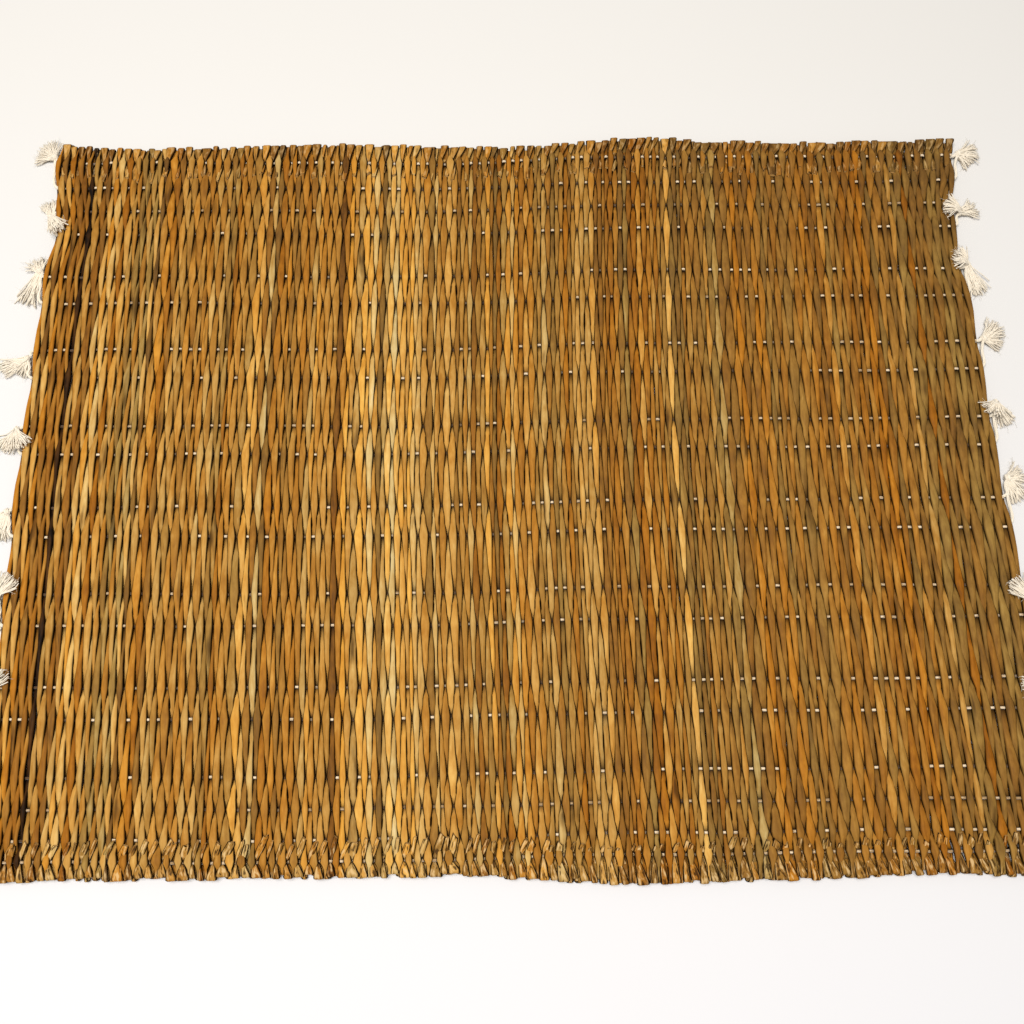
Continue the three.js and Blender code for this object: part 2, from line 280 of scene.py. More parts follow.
def cap_faces(tubes, rings, sides, start, centres):
    """Triangles that close both ends of each tube, round a centre point at each end."""
    tube, side = np.meshgrid(np.arange(tubes), np.arange(sides), indexing="ij")
    tube, side = tube.ravel(), side.ravel()
    first = start + tube * rings * sides
    last = first + (rings - 1) * sides
    following = (side + 1) % sides
    head = np.stack([centres + tube * 2, first + following, first + side], axis=1)
    foot = np.stack([centres + tube * 2 + 1, last + side, last + following], axis=1)
    return np.concatenate([head, foot]), np.concatenate([tube, tube])


class TubeWork:
    """Gathers tubes of one piece, then makes them one mesh."""

    def __init__(self, *traits):
        self.points = []
        self.traits = {trait: [] for trait in traits}
        self.quads = []
        self.places = []
        self.caps = []
        self.cap_places = []
        self.count = 0
        self.tubes = 0

    def add(self, paths, body, **traits):
        """Adds tubes by their middle lines and the points round them, with traits for each point."""
        tubes, rings, sides = body.shape[:3]
        start = self.count
        centres = start + tubes * rings * sides
        ends = np.stack([body[:, 0].mean(axis=1), body[:, -1].mean(axis=1)], axis=1)
        self.points.append(body.reshape(-1, 3))
        self.points.append(ends.reshape(-1, 3))
        for trait, values in traits.items():
            values = np.broadcast_to(values, (tubes, rings, sides))
            self.traits[trait].append(values.ravel())
            end_values = np.stack([values[:, 0].mean(axis=1), values[:, -1].mean(axis=1)], axis=1)
            self.traits[trait].append(end_values.ravel())
        self.count = centres + tubes * 2
        steps = np.linalg.norm(np.diff(paths, axis=1), axis=2)
        length = np.concatenate([np.zeros((tubes, 1)), np.cumsum(steps, axis=1)], axis=1)
        quads, around, runs, tube = tube_faces(tubes, rings, sides, start)
        self.quads.append(quads)
        around = around + (self.tubes + tube)[:, None]
        self.places.append(np.stack([around, length[tube[:, None], runs]], axis=2))
        caps, cap_tube = cap_faces(tubes, rings, sides, start, centres)
        self.caps.append(caps)
        cap_place = np.zeros((len(caps), 3, 2))
        cap_place[:, :, 0] = (self.tubes + cap_tube)[:, None]
        self.cap_places.append(cap_place)
        self.tubes += tubes

    def make(self, name, skin, ends):
        """The mesh object, its tube sides in one material and its cut ends in another."""
        points = np.concatenate(self.points) * MM
        quads = np.concatenate(self.quads)
        caps = np.concatenate(self.caps)
        mesh = bpy.data.meshes.new(name)
        mesh.vertices.add(len(points))
        mesh.vertices.foreach_set("co", points.ravel())
        mesh.loops.add(quads.size + caps.size)
        corners = np.concatenate([quads.ravel(), caps.ravel()])
        mesh.loops.foreach_set("vertex_index", corners.astype(np.int32))
        mesh.polygons.add(len(quads) + len(caps))
        starts = np.concatenate([np.arange(len(quads)) * 4, quads.size + np.arange(len(caps)) * 3])
        mesh.polygons.foreach_set("loop_start", starts.astype(np.int32))
        is_cap = np.arange(len(starts)) >= len(quads)
        mesh.materials.append(skin)
        mesh.materials.append(ends)
        mesh.polygons.foreach_set("material_index", is_cap.astype(np.int32))
        mesh.polygons.foreach_set("use_smooth", ~is_cap)
        layer = mesh.uv_layers.new(name="run")
        places = np.concatenate([array.ravel() for array in self.places + self.cap_places])
        layer.data.foreach_set("uv", places.astype(np.float32))
        for trait, values in self.traits.items():
            attribute = mesh.attributes.new(trait, "FLOAT", "POINT")
            attribute.data.foreach_set("value", np.concatenate(values).astype(np.float32))
        mesh.update(calc_edges=True)
        piece = bpy.data.objects.new(name, mesh)
        bpy.context.scene.collection.objects.link(piece)
        return piece


# Rush stems
# Tails of the folded stems: how far their cut ends lie in from the edge, and rise above the band's middle
FAR_TAIL = 18.0
NEAR_TAIL = 14.6
FAR_TAIL_RISE = 1.3
NEAR_TAIL_RISE = 2.0
# How the folded ends lean, as a shift along the mat for each millimetre away from the viewer, out to
# the outermost thread and beyond it: (place, lean)
FAR_LEAN = ((-225, -0.1), (-120, 0.08), (0, 0.2), (100, 0.3), (170, 0.4), (225, 0.3))
FAR_TAIL_LEAN = 0.06
NEAR_LEAN = ((-225, -0.1), (0, -0.16), (225, -0.24))
NEAR_TAIL_LEAN = 0.36
LEAN_CHANCE = 0.1
# The fold's bend and half height, and where its rings lie round the bend, from the tail's side to the stem's
FOLD_RADIUS = 0.75
FOLD_HIGH = 0.5
FOLD_ANGLES = (90, 30, -30, -90)
# Chance in the folded ends: of the edge's place, with limits, of the tail's length and of the widths
EDGE_CHANCE = 0.6
EDGE_CHANCE_LIMITS = (-2, 1.2)
TAIL_CHANCE = 1.0
FLARE_CHANCE = 0.1
# A tail reaches at least this far beyond the outermost thread
LEAST_TAIL = 3.0
# The middle ring of a tail: its place from the thread to the cut, and its share of the tail's rise
TAIL_MIDDLE = 0.45
TAIL_MIDDLE_RISE = 0.9
# Rises above the band's middle: under the thread, halfway from it to the fold, and of the stem itself there
TUCKED_RISE = 0.3
HALFWAY_RISE = 1.3
STEM_HALFWAY_RISE = -0.95
# How deep the cut and the tucked stretch count as lying, for their painted shade
CUT_DEPTH = 0.9
TUCKED_DEPTH = 0.95
# Half widths of a folded end: at the fold, halfway to the thread, under it, beyond it and at the cut
FOLD_WIDE = 1.9
HALFWAY_WIDE = 1.2
TUCKED_WIDE = 0.55
TAIL_WIDE = 1.2
RIM_WIDE = 1.0
CUT_WIDE = 0.75
# Half widths of the stem itself between thread and fold, under its tail or above it
HIDDEN_WIDE = 1.75
SHOWN_WIDE = 0.62
# How far each cut runs askew, as a share of the tail's width
CUT_SKEW = 0.7
# Rings from the cut end to halfway to the fold, and on round to the stem's side of it
TAIL_RINGS = 5
FOLD_RINGS = TAIL_RINGS + len(FOLD_ANGLES)
# How strongly the far folds are creased, in relief and in painted ridge highlights and crease shade, where
# the near ones have 1
FAR_CREASES = 0.5
# How far the far folds stand out past the outline so that they show at its place
FAR_FOLD_OUT = 0.7
# The tails are cut at a slant, back from the side that faces out, and have a dark rim of painted shade
CUT_SLANT = 0.5
CUT_RIM = 0.4
# Tones along the mat: (place, tone), 0 dark brown to 1 pale straw
ZONE_TONES = (
    (-225, 0.53), (-190, 0.54), (-140, 0.57), (-95, 0.565), (-72, 0.645), (-42, 0.635), (-10, 0.56),
    (40, 0.55), (80, 0.49), (140, 0.465), (185, 0.435), (225, 0.415),
)
# The stems are painted darker towards the far side, as shade: how much, and where that starts and ends
FAR_PAINTED_SHADE = 0.06
FAR_PAINTED_SHADE_SPAN = (40.0, 170.0)
TONE_CHANCE = ((-225, 0.1), (60, 0.09), (150, 0.06), (225, 0.05))
LEAST_TONE = 0.4
# How olive rather than amber the stems are: (place, olive)
ZONE_OLIVES = (
    (-225, 0.45), (-150, 0.5), (-100, 0.4), (-50, 0.35), (0, 0.45), (55, 0.35), (90, 0.55), (120, 0.46),
    (165, 0.46), (195, 0.6), (225, 0.5),
)
OLIVE_CHANCE = 0.28
# Single stems that stand out: (place, tone, olive)
MARKED_STEMS = (
    (DARK_STEM_PLACE, 0.08, 0.2), (-170, 0.36, 0.7), (-80.2, 0.3, 0.3), (-69, 0.74, 0.1), (-60, 0.4, 0.9),
    (-55, 0.78, 0.2), (-46, 0.74, 0.1), (76.6, 0.74, 0.25), (154, 0.6, 0.3), (176, 0.52, 0.0),
    (191, 0.6, 0.5),
)
# Stems prone to dark stains along the mat, and how prone those are: (place, share of the stems)
STAINED_SHARE = ((-225, 0.24), (-90, 0.14), (0, 0.05), (225, 0.03))
STAIN_PRONE = (0.05, 0.16)
# Painted shade: a stem is painted darkest where its neighbours close over it, from this share of its dip on
PIT_START = 0.7
COVER_PAINTED_SHADE = 0.6
# and painted dark down its sides: (place, shade)
SIDE_PAINTED_SHADE = ((-225, 0.7), (-60, 1.0), (60, 1.0), (140, 0.66), (225, 0.55))


def stem_colours():
    """Tone, olive share and proneness to stains of each stem."""
    chance = luck(21)
    tone_chance = eased(TONE_CHANCE, STEM_PLACES) * chance.standard_normal(STEM_COUNT)
    tone = np.maximum(eased(ZONE_TONES, STEM_PLACES) + tone_chance, LEAST_TONE)
    olive = eased(ZONE_OLIVES, STEM_PLACES) + OLIVE_CHANCE * chance.standard_normal(STEM_COUNT)
    for place, marked_tone, marked_olive in MARKED_STEMS:
        stem = np.argmin(np.abs(STEM_PLACES - place))
        tone[stem] = marked_tone
        olive[stem] = marked_olive
    stained = chance.random(STEM_COUNT) < eased(STAINED_SHARE, STEM_PLACES)
    stain = np.where(stained, between(STAIN_PRONE, chance, STEM_COUNT), 0)
    return np.clip(tone, 0.0, 1.0), np.clip(olive, 0.0, 1.0), stain


def crossing_spans():
    """Middle shift and half width of each stem's spread at each thread, out to the slits beside it."""
    left = np.full(SLITS.shape, -MAT_LENGTH / 2)
    right = np.full(SLITS.shape, MAT_LENGTH / 2)
    left[1:] = STEM_PLACES[:-1, None] + SLITS[:-1] / 2
    right[:-1] = STEM_PLACES[1:, None] - SLITS[1:] / 2
    return (left + right) / 2 - STEM_PLACES[:, None], (right - left) / 2


def woven_run(stems):
    """Rings of the stems' main runs, thread by thread: y, z, half width above and below, half height,
    shift and lift."""
    order = np.arange(len(THREADS))
    place = STEM_PLACES[stems]
    stumble = STUMBLE * luck(13).standard_normal((STEM_COUNT, len(THREADS)))
    y = thread_y(order[None, :], place[:, None]) + stumble[stems]
    rise = np.where((order == 0) | (order == LAST_THREAD), BAND_RISE, STEM_RISE)
    over = over_thread(stems[:, None], order[None, :])
    z = thread_middle(order)[None, :] + over * rise[None, :]
    all_shifts, all_widths = crossing_spans()
    shift = all_shifts[stems]
    wide = all_widths[stems]
    chance = luck(16)
    spans = (STEM_COUNT, LAST_THREAD)
    shrunk = chance.random(spans) < eased(SHRUNK_SHARE, STEM_PLACES)[:, None]
    fill = np.where(shrunk, between(SHRUNK_FILL, chance, spans), eased(BETWEEN_FILL, STEM_PLACES)[:, None])
    plain_wide = (fill * STEM_WIDTHS[:, None] / 2)[stems]
    lower_wide = (eased(LOWER_FILL, STEM_PLACES) * STEM_WIDTHS / 2)[stems]
    columns = []
    for gap in range(LAST_THREAD):
        for run in range(RUNS_BETWEEN + 1):
            share = run / (RUNS_BETWEEN + 1)
            ease = 0.5 - 0.5 * math.cos(math.pi * share)
            spread = math.cos(math.pi * share) ** 2
            leaf = 1 - (1 - abs(1 - 2 * share)) ** LEAF_POWER
            nearest = gap if share < 0.5 else gap + 1
            above = np.where(over[:, nearest] > 0, leaf, spread)
            below = np.where(over[:, nearest] > 0, spread, leaf)
            columns.append((
                y[:, gap] * (1 - share) + y[:, gap + 1] * share,
                z[:, gap] * (1 - ease) + z[:, gap + 1] * ease,
                plain_wide[:, gap] * (1 - above) + wide[:, nearest] * above,
                lower_wide * (1 - below) + wide[:, nearest] * below,
                np.full(len(stems), BETWEEN_HIGH * (1 - spread) + CROSSING_HIGH * spread),
                shift[:, nearest] * spread,
                over[:, gap] * math.cos(math.pi * share),
            ))
    crossing_high = np.full(len(stems), CROSSING_HIGH)
    last_wide = wide[:, -1]
    columns.append((
        y[:, -1], z[:, -1], last_wide, last_wide, crossing_high, shift[:, -1], over[:, -1] * 1.0,
    ))
    return [np.stack(values, axis=1) for values in zip(*columns)]


def folded_end(stems, far, thread_place):
    """Rings of one end of the stems from the cut end of the tail, round the fold, to just before the
    outermost thread: distance out, z, half width above and below, half height, sideways shift and lift."""
    order = 0 if far else LAST_THREAD
    uneven = luck(31 if far else 32).standard_normal((STEM_COUNT, 5))[stems]
    top = -over_thread(stems, order)
    place = STEM_PLACES[stems]
    reach = MAT_WIDTH / 2 + eased(FAR_EDGE if far else NEAR_EDGE, place) + (FAR_FOLD_OUT if far else 0)
    edge = reach + EDGE_CHANCE * np.clip(uneven[:, 0], *EDGE_CHANCE_LIMITS)
    inner = edge - np.abs(thread_place)
    tail = (FAR_TAIL if far else NEAR_TAIL) + TAIL_CHANCE * uneven[:, 1]
    tail = np.maximum(tail, inner + LEAST_TAIL)
    tail_rise = FAR_TAIL_RISE if far else NEAR_TAIL_RISE
    size = STEM_WIDTHS[stems] / STEM_PITCH
    lean = eased(FAR_LEAN if far else NEAR_LEAN, place) + LEAN_CHANCE * uneven[:, 2]
    tail_lean = (FAR_TAIL_LEAN if far else NEAR_TAIL_LEAN) + LEAN_CHANCE * uneven[:, 4]
    flare = 1 + FLARE_CHANCE * uneven[:, 3]
    way = -1 if far else 1
    centre = FOLD_HIGH + FOLD_RADIUS
    halfway = (inner + centre) / 2
    tail_middle = inner * (1 - TAIL_MIDDLE) + tail * TAIL_MIDDLE
    run_wide = np.where(top > 0, HIDDEN_WIDE, SHOWN_WIDE)
    rows = []

    def ring(inward, height, wide, leans, lift):
        every = np.ones(len(stems))
        shift = lean * np.minimum(inward, inner) + tail_lean * np.maximum(inward - inner, 0)
        rows.append((
            edge - inward, BAND_MIDDLE + top * height, wide * every, wide * every, FOLD_HIGH * every,
            way * leans * shift, lift * top,
        ))

    ring(tail, tail_rise, CUT_WIDE * size * flare, 1.0, -CUT_DEPTH)
    ring(tail - CUT_RIM, tail_rise, RIM_WIDE * size * flare, 1.0, 0.0)
    ring(tail_middle, tail_rise * TAIL_MIDDLE_RISE, TAIL_WIDE * size * flare, 1.0, 0.0)
    ring(inner, TUCKED_RISE, TUCKED_WIDE * size, 1.0, -TUCKED_DEPTH)
    ring(halfway, HALFWAY_RISE, HALFWAY_WIDE * size * flare, 1.0, 0.0)
    for angle in np.radians(FOLD_ANGLES):
        share = (math.sin(angle) + 1) / 2
        ring(
            centre - FOLD_RADIUS * math.cos(angle),
            FOLD_RADIUS * math.sin(angle) + FOLD_RADIUS,
            (FOLD_WIDE * share * flare + run_wide * (1 - share)) * size,
            share,
            0.0,
        )
    ring(halfway, STEM_HALFWAY_RISE, run_wide * size, 0.0, 0.0)
    return [np.stack(values, axis=1) for values in zip(*rows)]


def painted_pit_shade(stems, body, paths, lift):
    """How deep in painted shade each point lies: painted dark where neighbours close over the stem, and down
    its sides.
    """
    faces_up = body[:, :, :, 2] > paths[:, :, None, 2]
    dip = np.where(faces_up, -lift[:, :, None], lift[:, :, None])
    covered = COVER_PAINTED_SHADE * np.clip((dip - PIT_START) / (1 - PIT_START), 0, 1)
    on_side = np.array([abs(sideways) > abs(upright) for sideways, upright in STEM_SECTION])
    side_shade = eased(SIDE_PAINTED_SHADE, STEM_PLACES[stems])[:, None, None]
    return np.where(on_side, side_shade + (1 - side_shade) * covered, covered)


def make_rush(name, first, skin, pith):
    """Every second stem, from the first: these all pass over the same threads."""
    stems = np.arange(first, STEM_COUNT, 2)
    run = woven_run(stems)
    far = folded_end(stems, True, run[0][:, 0])
    near = folded_end(stems, False, run[0][:, -1])
    near[0] = -near[0]
    y, z, wide, lower_wide, high, shift, lift = (
        np.concatenate([head, middle, foot[:, ::-1]], axis=1) for head, middle, foot in zip(far, run, near)
    )
    sway = SWAY * np.sin(y / SWAY_STRETCH + SWAY_START * luck(14).random(STEM_COUNT)[stems][:, None])
    within = np.clip(y, -MAT_WIDTH / 2, MAT_WIDTH / 2)
    x = stem_x(STEM_PLACES[stems][:, None], within) + shift + sway
    paths = np.stack([x, y, z], axis=2)
    body = tube_points(paths, wide, high, STEM_SECTION, (1, 0, 0))
    lower_body = tube_points(paths, lower_wide, high, STEM_SECTION, (1, 0, 0))
    body[:, :, LOWER_CORNERS] = lower_body[:, :, LOWER_CORNERS]
    # Painted shade where neighbours close over a stem and down its sides
    painted_shade = painted_pit_shade(stems, body, paths, lift)
    skew = CUT_SKEW * luck(15).standard_normal((STEM_COUNT, 2))[stems]
    for ring, way, order in ((0, 1, 0), (-1, -1, LAST_THREAD)):
        top = -over_thread(stems, order)[:, None]
        rise = top * (body[:, ring, :, 2] - z[:, ring, None])
        aside = body[:, ring, :, 0] - x[:, ring, None]
        body[:, ring, :, 1] += way * CUT_SLANT * rise + skew[:, ring, None] * aside
    fold = np.zeros(z.shape)
    fold[:, :FOLD_RINGS] = FAR_CREASES
    fold[:, -FOLD_RINGS:] = 1
    tone, olive, stain = (values[stems][:, None, None] for values in stem_colours())
    # Painted shade, darker towards the far side
    tone = tone - FAR_PAINTED_SHADE * smooth_share(y, *FAR_PAINTED_SHADE_SPAN)[:, :, None]
    work = TubeWork("tone", "olive", "stain", "painted_shade", "fold")
    work.add(paths, body, tone=tone, olive=olive, stain=stain, painted_shade=painted_shade, fold=fold[:, :, None])
    return work.make(name, skin, pith)


# Cotton threads of the weave
def make_threads(name, skin, ends):
    """The threads, each weaving over and under stem after stem and rising where a slit is open."""
    steps = np.arange((STEM_COUNT - 1) * THREAD_STEPS + 1) / THREAD_STEPS
    stem = np.minimum(steps.astype(int), STEM_COUNT - 2)
    share = steps - stem
    place = STEM_PLACES[stem] * (1 - share) + STEM_PLACES[stem + 1] * share
    rises = np.interp(SLITS, (SHUT_SLIT[1], OPEN_SLIT[0]), THREAD_RISES)
    rises[DARK_STEM] = THREAD_RISES[0]
    paths = []
    for order in range(len(THREADS)):
        y = thread_y(order, place) + THREAD_WAVE * np.sin(place / THREAD_WAVE_STRETCH + order)
        rise = rises[:, order] + {0: FAR_BAND_LIFT, LAST_THREAD: NEAR_BAND_LIFT}.get(order, 0)
        bends = -over_thread(np.arange(STEM_COUNT), order) * rise
        ease = 0.5 - 0.5 * np.cos(math.pi * share)
        z = thread_middle(order) + bends[stem] * (1 - ease) + bends[stem + 1] * ease
        paths.append(np.stack([stem_x(place, y), y, z], axis=1))
    paths = np.array(paths)
    work = TubeWork("tone", "painted_shade")
    body = tube_points(paths, THREAD_WIDE, THREAD_HIGH, round_section(THREAD_SIDES), (0, 1, 0))
    # The low parts of each thread are painted in shade
    bend = np.abs(paths[:, :, 2] - thread_middle(np.arange(len(THREADS)))[:, None])
    painted_shade = 1 - smooth_share(bend, *SHADED_RISES)
    work.add(paths, body, tone=luck(41).random((len(THREADS), 1, 1)), painted_shade=painted_shade[:, :, None])
    return work.make(name, skin, ends)


# Knotted tufts beside the short sides: (knot, first brush, its length, second brush, its length),
# the knot's place across the mat and each brush's way in degrees anticlockwise from +X
LEFT_TUFTS = (
    (171, 120, 11, 165, 10), (136, 108, 10, 305, 12), (106, 112, 8, 252, 19), (59, 203, 14, 245, 9),
    (23, 238, 12, 295, 11), (-17, 215, 11, 262, 13), (-57, 55, 12, 262, 14), (-98, 60, 12, 250, 12),
    (-135, 192, 12, 244, 11), (-161, 172, 12, 225, 12),
)
RIGHT_TUFTS = (
    (168, 12, 11, 330, 9), (134, 20, 10, 163, 9), (105, 288, 17, 160, 8), (65, 42, 12, 345, 10),
    (32, 303, 12, 245, 8), (-5, 15, 9, 295, 12), (-64, 130, 14, 300, 10), (-101, 165, 13, 200, 12),
    (-136, 338, 12, 286, 11), (-161, 5, 12, 312, 12),
)
GAP = 0.3
KNOT_REACH = 2.85
KNOT_HEIGHT = 2.2
STRANDS_PER_BRUSH = 52
STRAND_RADIUS = 0.24
STRAND_RINGS = 9
STRAND_SIDES = 5
# Least and most of a strand's length, thickness and tone, as shares
STRAND_REACH = (0.74, 1.04)
STRAND_THICKNESS = (0.8, 1.2)
STRAND_TONE = (0.25, 0.85)
# How wide a brush of a plain length fans, in degrees; longer ones lie closer together
BRUSH_FAN = 62.0
PLAIN_BRUSH = 10.0
FAN_FALL = 2.0
BRUSH_DEPTH = 2.2
# Heights that a brush lies at: on the table, or on the mat's face where it points inward
FLOOR_LEVEL = 0.25
FACE_LEVEL = 4.5
# Share of its length where a strand bends down to the face or to the table
FACE_BEND = 0.24
FLOOR_BEND = 0.4
# A strand's root: how deep in the knot, how wide the brush is there and its chance of height
ROOT_DEPTH = 0.8
ROOT_WIDE = 2.0
ROOT_CHANCE = 0.6
# Its bend: how far out of the knot, how wide the brush is there and its rise over the mat's face
BEND_OUT = 0.6
BEND_WIDE = 1.2
BEND_RISE = 0.9
BEND_LAYERS = 0.5
# Its later part: the place along it, how far it strays and curls, and how far its tip sinks
LATER_PLACE = 0.72
ANGLE_CHANCE = 0.13
CURL = 0.6
TIP_SINK = 0.15
# Loose fibres: how many and how fine, the first ring of a strand that has them, and how they stand off
FUZZ_PER_TUFT = 200
FUZZ_RADIUS = 0.05
FUZZ_RINGS = 6
FUZZ_SIDES = 3
FUZZ_TONE = 0.9
FUZZ_START = 4
FUZZ_REACH = (1.0, 3.2)
FUZZ_SPREAD = (1, 1, 0.35)
FUZZ_CURL = (0.5, 0.5, 0.2)
# Twisted threads of a few strands, from the mat to the knot and round it
CORD_STRANDS = 5
CORD_RADIUS = 0.42
CORD_STRAND_RADIUS = 0.31
CORD_TONE = (0.4, 0.7)
LEAD_ROOT = 1.5
LEAD_OUT = 1.0
LEAD_HEIGHT = 2.6
LEAD_TURNS = (0.18, 0.6)
LEAD_RINGS = 16
LEAD_TWIST = 0.9
WRAP_TURNS = 1.7
WRAP_RINGS = 26
WRAP_WIDE = 1.2
WRAP_HIGH = 1.05
WRAP_HALF_LENGTH = 0.75
WRAP_TILT = 0.25
WRAP_TWIST = 1.6
WRAP_SWELL = 1.1
WRAP_TONE = 0.5
# Ways nearly straight up, so that no tube runs quite along them
CORD_UPRIGHT = (0.02, 0.03, 1.0)
STRAND_UPRIGHT = (0.05, 0.09, 1.0)
# A strand's middle line stays this many radii above the table
TABLE_CLEARANCE = 1.15
TUFT_SEED = 500


def smooth_route(points, rings):
    """A smooth path through a few points."""
    points = np.array(points, dtype=float)
    padded = np.concatenate([2 * points[:1] - points[1:2], points, 2 * points[-1:] - points[-2:-1]])
    place = np.linspace(0, len(points) - 1, rings)
    span = np.minimum(place.astype(int), len(points) - 2)
    t = (place - span)[:, None]
    a, b, c, d = (padded[span + k] for k in range(4))
    square = 2 * a - 5 * b + 4 * c - d
    cube = 3 * b - a - 3 * c + d
    return 0.5 * (2 * b + (c - a) * t + square * t ** 2 + cube * t ** 3)


def above_table(paths, radius):
    """Lifts any part of the paths that would sink into the table."""
    paths[..., 2] = np.maximum(paths[..., 2], radius * TABLE_CLEARANCE)
    return paths


def twisted_cord(route, strands, radius, turns):
    """Strand paths that twist round a route."""
    along = np.gradient(route, axis=0)
    along /= np.linalg.norm(along, axis=1, keepdims=True)
    across = np.cross(along, CORD_UPRIGHT)
    across /= np.linalg.norm(across, axis=1, keepdims=True)
    upward = np.cross(along, across)
    share = np.linspace(0, 1, len(route))
    paths = []
    for strand in range(strands):
        turn = 2 * math.pi * (strand / strands + turns * share)
        offset = across * np.cos(turn)[:, None] + upward * np.sin(turn)[:, None]
        paths.append(route + radius * offset)
    return np.array(paths)


def brush_paths(side, knot, pointing, length, chance):
    """Strands of one brush, from inside the knot out to their cut tips."""
    middle = math.radians(pointing)
    inward = side * math.cos(middle) < 0
    rest = FACE_LEVEL if inward else FLOOR_LEVEL
    axis = np.array([math.cos(middle), math.sin(middle), 0.0])
    across = np.array([-axis[1], axis[0], 0.0])
    bend_place = FACE_BEND if inward else FLOOR_BEND
    spread = math.radians(BRUSH_FAN) * (PLAIN_BRUSH / length) ** FAN_FALL
    paths = []
    for strand in range(STRANDS_PER_BRUSH):
        share = strand / (STRANDS_PER_BRUSH - 1) - 0.5
        angle = middle + share * spread + ANGLE_CHANCE * chance.standard_normal()
        reach = length * between(STRAND_REACH, chance, None)
        way = np.array([math.cos(angle), math.sin(angle), 0.0])
        layer = rest + STRAND_RADIUS + BRUSH_DEPTH * chance.random()
        root = knot - axis * ROOT_DEPTH + across * share * ROOT_WIDE
        root[2] += ROOT_CHANCE * chance.standard_normal()
        bend = knot + axis * BEND_OUT + way * reach * bend_place + across * share * BEND_WIDE
        bend[2] = (knot[2] + layer) / 2
        if inward:
            bend[2] = rest + BEND_RISE + BEND_LAYERS * layer / (rest + BRUSH_DEPTH)
        curl = CURL * chance.standard_normal(2)
        later = knot + way * reach * LATER_PLACE + across * curl[0]
        later[2] = layer
        tip = knot + way * reach + across * (curl[0] + curl[1])
        tip[2] = layer * (1 - TIP_SINK) + rest * TIP_SINK
        paths.append(smooth_route([root, bend, later, tip], STRAND_RINGS))
    paths = np.array(paths)
    if not inward:
        limit = side_reach(side, paths[:, :, 1]) + GAP + STRAND_RADIUS
        paths[:, :, 0] = side * np.maximum(side * paths[:, :, 0], limit)
    return paths


def fuzz_paths(strands, chance):
    """Fine loose fibres that stand off from the strands."""
    paths = []
    for fibre in range(FUZZ_PER_TUFT):
        strand = strands[chance.integers(len(strands))]
        root = strand[chance.integers(FUZZ_START, len(strand))]
        way = chance.standard_normal(3) * FUZZ_SPREAD
        way /= np.linalg.norm(way)
        reach = between(FUZZ_REACH, chance, None)
        tip = way * reach + chance.standard_normal(3) * FUZZ_CURL
        points = [root, root + tip / 2, root + tip]
        paths.append(smooth_route(points, FUZZ_RINGS))
    return np.array(paths)


def knot_wrap(knot, pointing):
    """The turns of thread that make the knot, round the way that its first brush points."""
    middle = math.radians(pointing)
    axis = np.array([math.cos(middle), math.sin(middle), WRAP_TILT])
    axis /= np.linalg.norm(axis)
    across = np.cross(axis, (0, 0, 1))
    across /= np.linalg.norm(across)
    upward = np.cross(across, axis)
    turn = np.linspace(0, 2 * math.pi * WRAP_TURNS, WRAP_RINGS)[:, None]
    along = np.linspace(-WRAP_HALF_LENGTH, WRAP_HALF_LENGTH, WRAP_RINGS)[:, None]
    return knot + across * WRAP_WIDE * np.cos(turn) + upward * WRAP_HIGH * np.sin(turn) + axis * along


def edge_lead(side, thread, knot):
    """A thread's route from where it leaves the mat, along the side to the knot."""
    y = float(thread_y(thread, side * MAT_LENGTH / 2))
    route = [(side * (float(side_reach(side, y)) - LEAD_ROOT), y, WEAVE_MIDDLE)]
    for share in LEAD_TURNS:
        place = y + (knot[1] - y) * share
        route.append((side * (float(side_reach(side, place)) + LEAD_OUT), place, LEAD_HEIGHT))
    return smooth_route(route + [tuple(knot)], LEAD_RINGS)


def make_tuft(name, side, tuft, order, skin):
    """One knot with the two threads that come to it and its two brushes."""
    chance = luck(TUFT_SEED + order * 2 + (side > 0))
    place, first, first_length, second, second_length = tuft
    knot = np.array([side * (float(side_reach(side, place)) + KNOT_REACH), place, KNOT_HEIGHT])
    work = TubeWork("tone", "painted_shade")

    def add(paths, radius, sides, tone):
        paths = above_table(paths, np.max(radius))
        body = tube_points(paths, radius, radius, round_section(sides), STRAND_UPRIGHT)
        work.add(paths, body, tone=tone, painted_shade=0.0)

    for thread in (order * 2, order * 2 + 1):
        cord = twisted_cord(edge_lead(side, thread, knot), CORD_STRANDS, CORD_RADIUS, LEAD_TWIST)
        add(cord, CORD_STRAND_RADIUS, STRAND_SIDES, between(CORD_TONE, chance, (CORD_STRANDS, 1, 1)))
    wraps = twisted_cord(knot_wrap(knot, first), CORD_STRANDS, CORD_RADIUS * WRAP_SWELL, WRAP_TWIST)
    add(wraps, CORD_STRAND_RADIUS * WRAP_SWELL, STRAND_SIDES, WRAP_TONE)
    strands = np.concatenate([
        brush_paths(side, knot, first, first_length, chance),
        brush_paths(side, knot, second, second_length, chance),
    ])
    thickness = STRAND_RADIUS * between(STRAND_THICKNESS, chance, (len(strands), 1))
    add(strands, thickness, STRAND_SIDES, between(STRAND_TONE, chance, (len(strands), 1, 1)))
    add(fuzz_paths(strands, chance), FUZZ_RADIUS, FUZZ_SIDES, FUZZ_TONE)
    return work.make(name, skin, skin)


